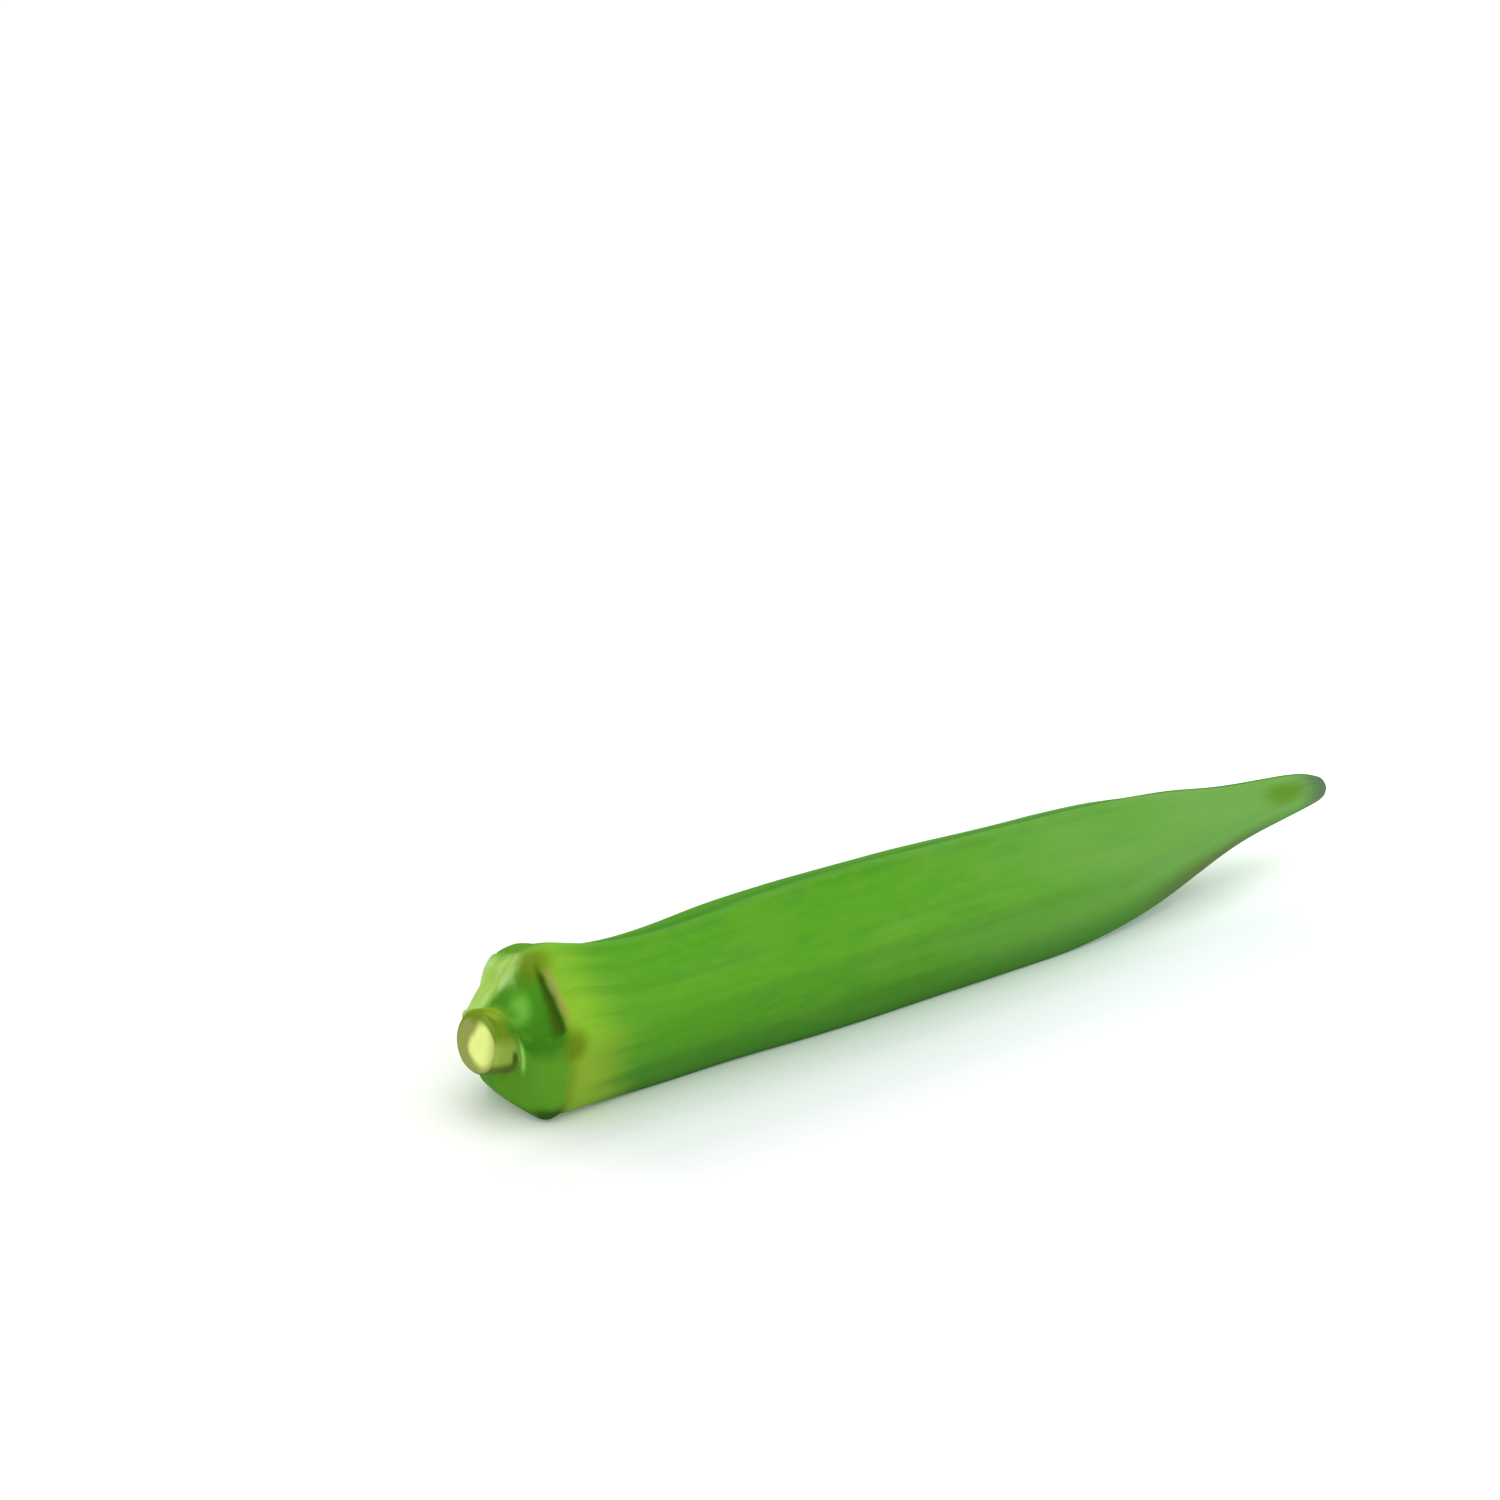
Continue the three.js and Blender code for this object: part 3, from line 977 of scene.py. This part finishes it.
class Finish:
    """One material and the nodes that give its colour, roughness and fine relief."""

    def __init__(self, name):
        self.material = bpy.data.materials.new(name)
        self.material.use_nodes = True
        self.tree = self.material.node_tree
        self.tree.nodes.clear()
        self.shader = self.tree.nodes.new("ShaderNodeBsdfPrincipled")
        output = self.tree.nodes.new("ShaderNodeOutputMaterial")
        self.tree.links.new(self.shader.outputs["BSDF"], output.inputs["Surface"])
        self.patterns = {}

    def plug(self, socket, value):
        if isinstance(value, Term):
            self.tree.links.new(value.socket, socket)
        else:
            socket.default_value = value

    def node(self, kind, settings, sockets, output=0):
        """Adds a node: its settings first, then the values or links of its sockets."""
        made = self.tree.nodes.new(kind)
        for name, value in settings.items():
            setattr(made, name, value)
        for name, value in sockets.items():
            self.plug(made.inputs[name], value)
        return Term(self, made.outputs[output])

    def maths(self, operation, first, second):
        return self.node("ShaderNodeMath", {"operation": operation}, {0: first, 1: second})

    def vector_maths(self, operation, first, second=(0, 0, 0), output=0):
        settings = {"operation": operation}
        return self.node("ShaderNodeVectorMath", settings, {0: first, 1: second}, output)

    def value_of(self, name, output="Fac"):
        return self.node("ShaderNodeAttribute", {"attribute_name": name}, {}, output)

    def part_of(self, vector, axis):
        return self.node("ShaderNodeSeparateXYZ", {}, {"Vector": vector}, axis)

    def object_place(self):
        return self.node("ShaderNodeTexCoord", {}, {}, "Object")

    def rise(self, value, low, high):
        """0 below one value and 1 above another, with a smooth step between them."""
        settings = {"interpolation_type": "SMOOTHSTEP"}
        sockets = {"Value": value, "From Min": low, "From Max": high}
        return self.node("ShaderNodeMapRange", settings, sockets)

    def ramp(self, name, value):
        """A mask from the table of ramps, which falls where the table has the higher value first."""
        zero, full, strength, *shift = RAMPS[name]
        if shift:
            pattern, amount = shift
            value = value + amount * self.patterns[pattern]
        mask = self.rise(value, min(zero, full), max(zero, full))
        if zero > full:
            mask = 1 - mask
        return mask if strength == 1 else mask * strength

    def noise(self, vector, scale, detail=2, roughness=0.5):
        sockets = {"Vector": vector, "Scale": scale, "Detail": detail, "Roughness": roughness}
        return self.node("ShaderNodeTexNoise", {}, sockets)

    def blend(self, mask, first, second):
        """The first colour where a mask is 0, and the second where it is 1."""
        sockets = {0: mask, MIX_FIRST: first, MIX_SECOND: second}
        return self.node("ShaderNodeMix", {"data_type": "RGBA"}, sockets, MIX_RESULT)

    def set(self, **values):
        for name, value in values.items():
            self.plug(self.shader.inputs[name.replace("_", " ")], value)


def paint(colour):
    """A colour setting as a shader takes it."""
    return (*colour, 1)


class SkinFinish(Finish):
    """The skin's material, with the places, marks and patterns that its colours are worked out from."""

    def __init__(self, name, colours):
        super().__init__(name)
        self.colours = colours
        self.station = self.value_of("station")
        self.run = self.value_of("run")
        self.share = self.value_of("share")
        unrolled = self.value_of("unrolled", "Vector")
        self.place = self.place_round(unrolled)
        self.downwards = 0 - self.place
        for pattern, (along, *grain) in PATTERNS.items():
            drawn_out = self.vector_maths("MULTIPLY", unrolled, (along, 1, 1))
            self.patterns[pattern] = self.noise(drawn_out, *grain)
        self.near_side = self.ramp("near_side", self.downwards)
        self.beyond = self.ramp("beyond", self.place)

    def place_round(self, unrolled):
        """The place round the pod in degrees, which starts again at the seam."""
        middle = math.radians(HALF_TURN - SEAM)
        near = 0 - self.part_of(unrolled, "Y")
        high = self.part_of(unrolled, "Z")
        across = near * math.cos(middle) + high * math.sin(middle)
        up = high * math.cos(middle) - near * math.sin(middle)
        return self.maths("ARCTAN2", up, across) * math.degrees(1) + (HALF_TURN - SEAM)

    def near(self, name, value):
        """A mask from the table of ramps, on the near side alone."""
        return self.ramp(name, value) * self.near_side

    def mark(self, name):
        """A mark that the modelling wrote on the skin, at the strength that its colour has."""
        return self.value_of(name) * MARK_STRENGTHS.get(name, 1)

    def coats(self, base, *layers):
        """Lays colour settings over a base, one after another, each where its mask is 1."""
        if isinstance(base, str):
            base = paint(getattr(self.colours, base))
        for mask, colour in layers:
            base = self.blend(mask, base, paint(getattr(self.colours, colour)))
        return base

    def body(self):
        """The greens of the body, from its patterns down to its tip, with painted shade on its lower side
        and beyond its top ridge, and a faint painted highlight along its ridges.
        """
        # painted shade: the near side's lower face is darker, and its underside near the tip duller still
        below = self.near("below", self.downwards)
        shade_under_tip = self.ramp("under_tip_starts", self.station)
        shade_under_tip = shade_under_tip * self.ramp("under_tip_stops", self.station)
        return self.coats(
            "body",
            *((self.ramp(name, self.patterns[name]), colour) for name, colour in BODY_PATTERNS.items()),
            (self.ramp("tip", self.station), "tip"),
            # faint painted highlight along the ridges
            (self.ramp("ridge", self.value_of("from_ridge")), "body_pale"),
            (below * UNDER_SHADE_STRENGTH, "body_under_shade"),
            (below * shade_under_tip, "tip_under_shade"),
            # painted shade beyond the top ridge, fading further round
            (self.beyond * (BEYOND_SHADE_STRENGTH - self.ramp("beyond_fades", self.place)), "body_deep"),
            (self.mark("tip_spot"), "tip_spot"),
            (self.ramp("tip_end", self.station), "tip_end"),
        )

    def collar(self):
        """The yellow green beside the collar, which frays out into the body, and the scar."""
        low = self.near("low_collar", self.place)
        collar = self.coats(
            "collar", (low, "collar_deep"), (self.mark("glow"), "collar_glow"),
            # painted shade on the collar beyond the top ridge
            (self.ramp("far_collar_shade", self.place), "body_deep"),
        )
        low_side = self.near("low_side", self.place)
        frayed = self.run + COLLAR_FRAY * self.patterns["threads"] - COLLAR_LOW_REACH * low_side
        body = self.blend(self.ramp("collar", frayed), self.body(), collar)
        return self.coats(body, (self.mark("scar"), "scar"))

    def cap(self):
        """The cap: deep on its near side, yellower below, and pale beyond a slanting line, partly its own
        tone and partly painted light, with bloom that is partly painted sheen and a painted highlight on
        its near side.
        """
        blotches = self.patterns["blotches"]
        cap = self.coats(
            "cap",
            (self.near("deep_cap", self.place), "cap_deep"),
            (self.near("low_cap", self.downwards), "cap_low"),
            (self.ramp("cap_blotches", blotches), "cap_low"),
        )
        # the pale far side, partly painted light, with bloom that is partly painted sheen
        pale = self.coats("cap_lit_pale", (self.ramp("bloom", blotches), "bloom"))
        far = self.ramp("far_cap", self.place + CAP_SLANT * self.run)
        far = far * self.ramp("far_cap_stops", self.place) * (1 - self.ramp("cap_edge", self.run))
        # the painted highlight on the cap's near side lies over the rest
        return self.coats(self.blend(far, cap, pale), (self.mark("cap_patch"), "cap_patch"))

    def stalk(self):
        """The stalk's skin, in painted light and shade: dark olive on its shaded side, pale on its lit
        near side, and brown underneath in painted shade.
        """
        # painted light on the near side, and painted shade underneath
        light = self.near("lit_stalk", self.place)
        dark = self.near("shade_under_stalk", self.downwards)
        return self.coats("stalk_deep", (light, "stalk"), (dark, "stalk_under_shade"))

    def cut_rim(self):
        """The skin's edge round the cut face, darker along its top."""
        top = self.ramp("rim_starts", self.place) * self.ramp("rim_stops", self.place)
        return self.coats("pith_edge", (top * self.ramp("rim", self.share), "stalk_deep"))

    def whole(self):
        """All the colours of the pod, from the body to the cut face."""
        colour = self.coats(
            self.blend(self.ramp("body", self.run), self.cap(), self.collar()),
            # painted contact shade on the lowest skin and at the cap's foot
            (self.mark("underside"), "cap_foot_shade"),
            (self.mark("olive"), "olive"),
            (self.ramp("shade", self.mark("shade")), "cap_deep"),
            # painted shade inside the groove
            (self.ramp("groove", self.mark("groove")), "groove"),
            # painted highlight on the lip beside the stalk's crease
            (self.mark("lip"), "lip"),
            (self.mark("root"), "root"),
        )
        colour = self.blend(self.mark("stalk"), colour, self.stalk())
        # painted shade in the hollow beside the stalk, in the groove's colour
        colour = self.coats(colour, (self.ramp("hollow", self.mark("hollow")), "groove"))
        colour = self.blend(self.ramp("cut", self.share), colour, self.cut_rim())
        return self.coats(colour, (self.mark("pale"), "pith"))

    def mix(self, shares):
        """The sum of some patterns, each by its share."""
        return sum(self.patterns[pattern] * share for pattern, share in shares.items())


def skin_finish(colours):
    skin = SkinFinish("okra skin", colours)
    sockets = {"Height": skin.mix(FINE_RELIEF), "Distance": FINE_RELIEF_DEPTH * MM}
    skin.set(
        Base_Color=skin.whole(),
        Roughness=ROUGHNESS + skin.mix(ROUGH_PATTERNS) + BEYOND_ROUGHNESS * skin.beyond,
        Normal=skin.node("ShaderNodeBump", {}, sockets),
        **SKIN_SHINE,
    )
    return skin.material


def fuzz_finish(colours):
    fuzz = Finish("okra fuzz")
    mottle = fuzz.noise(fuzz.object_place(), FUZZ_MOTTLE_SCALE, 1)
    colour = fuzz.blend(mottle * FUZZ_MOTTLE, paint(colours.fuzz), paint(colours.body_pale))
    fuzz.set(Base_Color=colour, **FUZZ_SHINE)
    return fuzz.material


def floor_finish(stage):
    """The pale floor, and a glow of painted light that lightens and tints its soft shadow: the camera
    sees its own share of both.
    """
    floor = Finish("pale surface")
    place = floor.object_place()
    shade = tuple(FLOOR_CLOUD * part for part in stage.floor)
    colour = floor.blend(floor.noise(place, FLOOR_CLOUD_SCALE), paint(stage.floor), paint(shade))
    seen = floor.node("ShaderNodeLightPath", {}, {}, "Is Camera Ray")
    along, across = floor.part_of(place, "X"), floor.part_of(place, "Y")
    afar = floor.ramp("afar", floor.vector_maths("LENGTH", place, output="Value"))
    glow = floor.blend(floor.ramp("glow", along), GLOW_AT_CAP, GLOW_AT_TIP)
    glow = floor.blend(afar, glow, GLOW_AFAR)
    seen_glow = floor.blend(floor.ramp("seen_glow", along), SEEN_AT_CAP, SEEN_AT_TIP)
    seen_glow = floor.blend(floor.ramp("seen_by_tip", along), seen_glow, SEEN_BY_TIP)
    clear = floor.ramp("clear_across", floor.maths("ABSOLUTE", across, 0))
    clear = clear + floor.ramp("clear_along", 0 - along)
    for mask, extra in ((floor.ramp("seen_by_edge", across), SEEN_BY_EDGE), (clear, SEEN_IN_CLEAR)):
        seen_glow = floor.vector_maths("ADD", seen_glow, floor.blend(mask, BLACK, extra))
    seen_glow = floor.blend(afar, seen_glow, SEEN_AFAR)
    floor.set(
        Base_Color=floor.blend(seen * SEEN_SHADE, colour, BLACK),
        Emission_Color=floor.blend(seen, glow, seen_glow),
        **FLOOR_SHINE,
    )
    return floor.material


# ---------------------------------------------------------------- fuzz
def model_hair(shape):
    """One hair: a thin three-sided cone that bends a little, standing on the origin."""
    length = shape.hair_length
    hair = add_primitive(
        "hair", bpy.ops.mesh.primitive_cone_add, vertices=3, radius1=shape.hair_width / 2, radius2=0,
        depth=length, location=(0, 0, length / 2),
    )
    edit(hair)
    bpy.ops.mesh.select_all(action="SELECT")
    bpy.ops.mesh.bisect(plane_co=(0, 0, length / 2), plane_no=(0, 0, 1))
    choose(hair, lambda v: v.co.z > HAIR_POINT * length)
    bpy.ops.transform.translate(value=Vector(HAIR_BEND) * length)
    bpy.ops.object.mode_set(mode="OBJECT")
    return hair


def hair_roots(pod, count, draw):
    """Points of the skin to grow hairs from: more on the ridges, none underneath."""
    mesh = pod.data
    faces = sorted(mesh.polygons, key=lambda face: face.center.dot(FACE_ORDER))
    corners = np.array([face.vertices for face in faces])
    centres = np.array([face.center for face in faces])
    normals = np.array([face.normal for face in faces])
    from_ridge = read_values(mesh, "from_ridge")[corners].mean(axis=1)
    share = read_values(mesh, "share")[corners].mean(axis=1)
    dense = FUZZ_ON_SIDES + FUZZ_ON_RIDGES * (1 - smooth(from_ridge, *FUZZ_RIDGE_SIDE))
    clear = (share > SKIN_SHARE) & (centres[:, 2] > FUZZ_LOWEST * MM)
    weights = np.array([face.area for face in faces]) * dense * clear
    chosen = draw.choice(len(faces), count, p=weights / weights.sum())
    return centres[chosen], normals[chosen]


def make_fuzz(shape, pod):
    """Copies the hair all over the skin, each copy turned, leant and sized by a seeded draw."""
    hair = model_hair(shape)
    corners = np.array([v.co for v in hair.data.vertices])
    faces = [tuple(face.vertices) for face in hair.data.polygons]
    draw = np.random.default_rng(HAIR_SEED)
    roots, normals = hair_roots(pod, shape.hair_count, draw)
    points, polygons = [], []
    for root, normal in zip(roots, normals):
        up = Vector(normal) + Vector(draw.normal(0, HAIR_SPREAD, 3)) + Vector((HAIR_SWEEP, 0, 0))
        spin = Matrix.Rotation(draw.uniform(0, math.tau), 3, "Z")
        turn = up.to_track_quat("Z", "Y").to_matrix() @ spin
        size = draw.uniform(*HAIR_SIZES)
        start = len(points) * len(corners)
        points.append(corners * size @ np.array(turn).T + root - HAIR_SINK * MM * normal)
        polygons += [tuple(start + i for i in face) for face in faces]
    mesh = bpy.data.meshes.new("okra_fuzz")
    mesh.from_pydata(np.concatenate(points).tolist(), [], polygons)
    bpy.data.objects.remove(hair)
    return add_object("okra_fuzz", mesh)


# ---------------------------------------------------------------- stage
def add_floor(stage):
    floor = add_primitive("floor", bpy.ops.mesh.primitive_plane_add, size=FLOOR_SIZE)
    floor.data.materials.append(floor_finish(stage))
    return floor


def add_camera(stage):
    camera = add_object("camera", bpy.data.cameras.new("camera"))
    camera.data.lens = stage.lens
    camera.data.sensor_width = SENSOR_WIDTH
    camera.data.clip_start = CLIP_START
    camera.location = stage.camera_place
    camera.rotation_euler = (math.pi / 2 - stage.elevation, 0, stage.azimuth)
    bpy.context.scene.camera = camera


def add_light(name, place, watts, size):
    """A square area light that faces the pod."""
    light = add_object(name, bpy.data.lights.new(name, "AREA"))
    light.data.energy = watts
    light.data.size = size
    light.location = place
    light.rotation_euler = (-Vector(place)).to_track_quat("-Z", "Y").to_euler()


def add_sky(stage):
    world = bpy.data.worlds.new("sky")
    bpy.context.scene.world = world
    world.use_nodes = True
    background = world.node_tree.nodes["Background"]
    background.inputs["Color"].default_value = (1, 1, 1, 1)
    background.inputs["Strength"].default_value = stage.sky


# ---------------------------------------------------------------- operators and panel
class OKRA_OT_pod(bpy.types.Operator):
    """Model the pod's skin, from the cut stalk to the tip"""

    bl_idname = "okra.pod"
    bl_label = "Pod"
    bl_options = {"REGISTER", "UNDO"}

    def execute(self, context):
        pod = make_pod(context.scene.okra_shape)
        pod.data.materials.append(skin_finish(context.scene.okra_colours))
        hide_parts("okra_pod")
        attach(pod, "root")
        return {"FINISHED"}


class OKRA_OT_fuzz(bpy.types.Operator):
    """Grow the short pale hairs on the pod's skin"""

    bl_idname = "okra.fuzz"
    bl_label = "Fuzz"
    bl_options = {"REGISTER", "UNDO"}

    def execute(self, context):
        pod = bpy.data.objects.get(SKIN)
        if pod is None:
            raise RuntimeError("the fuzz grows on the pod, so the pod comes first")
        fuzz = make_fuzz(context.scene.okra_shape, pod)
        fuzz.data.materials.append(fuzz_finish(context.scene.okra_colours))
        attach(fuzz, "root")
        return {"FINISHED"}


class OKRA_OT_stage(bpy.types.Operator):
    """Set the pod on a pale floor, with soft light and a camera"""

    bl_idname = "okra.stage"
    bl_label = "Stage"
    bl_options = {"REGISTER", "UNDO"}

    def execute(self, context):
        stage = context.scene.okra_stage
        add_floor(stage)
        add_camera(stage)
        add_light("key", KEY_PLACE, stage.key_watts, KEY_SIZE)
        add_sky(stage)
        context.scene.view_settings.view_transform = "Standard"
        return {"FINISHED"}


class OKRA_PT_panel(bpy.types.Panel):
    """The steps that make the pod, with their settings"""

    bl_idname = "OKRA_PT_panel"
    bl_label = "Okra pod"
    bl_space_type = "VIEW_3D"
    bl_region_type = "UI"
    bl_category = "Okra"

    def draw(self, context):
        scene = context.scene
        for settings in (scene.okra_shape, scene.okra_colours, scene.okra_stage):
            box = self.layout.box()
            for name in settings.bl_rna.properties.keys():
                if name not in ("rna_type", "name"):
                    box.prop(settings, name)
        for operator in (OKRA_OT_pod, OKRA_OT_fuzz, OKRA_OT_stage):
            self.layout.operator(operator.bl_idname)


CLASSES = (OkraShape, OkraColours, OkraStage, OKRA_OT_pod, OKRA_OT_fuzz, OKRA_OT_stage, OKRA_PT_panel)


def register():
    for made in CLASSES:
        bpy.utils.register_class(made)
    bpy.types.Scene.okra_shape = bpy.props.PointerProperty(type=OkraShape)
    bpy.types.Scene.okra_colours = bpy.props.PointerProperty(type=OkraColours)
    bpy.types.Scene.okra_stage = bpy.props.PointerProperty(type=OkraStage)


def unregister():
    del bpy.types.Scene.okra_shape
    del bpy.types.Scene.okra_colours
    del bpy.types.Scene.okra_stage
    for made in reversed(CLASSES):
        bpy.utils.unregister_class(made)


def main():
    register()
    bpy.ops.okra.pod()
    bpy.ops.okra.fuzz()
    bpy.ops.okra.stage()


if __name__ == "__main__":
    main()
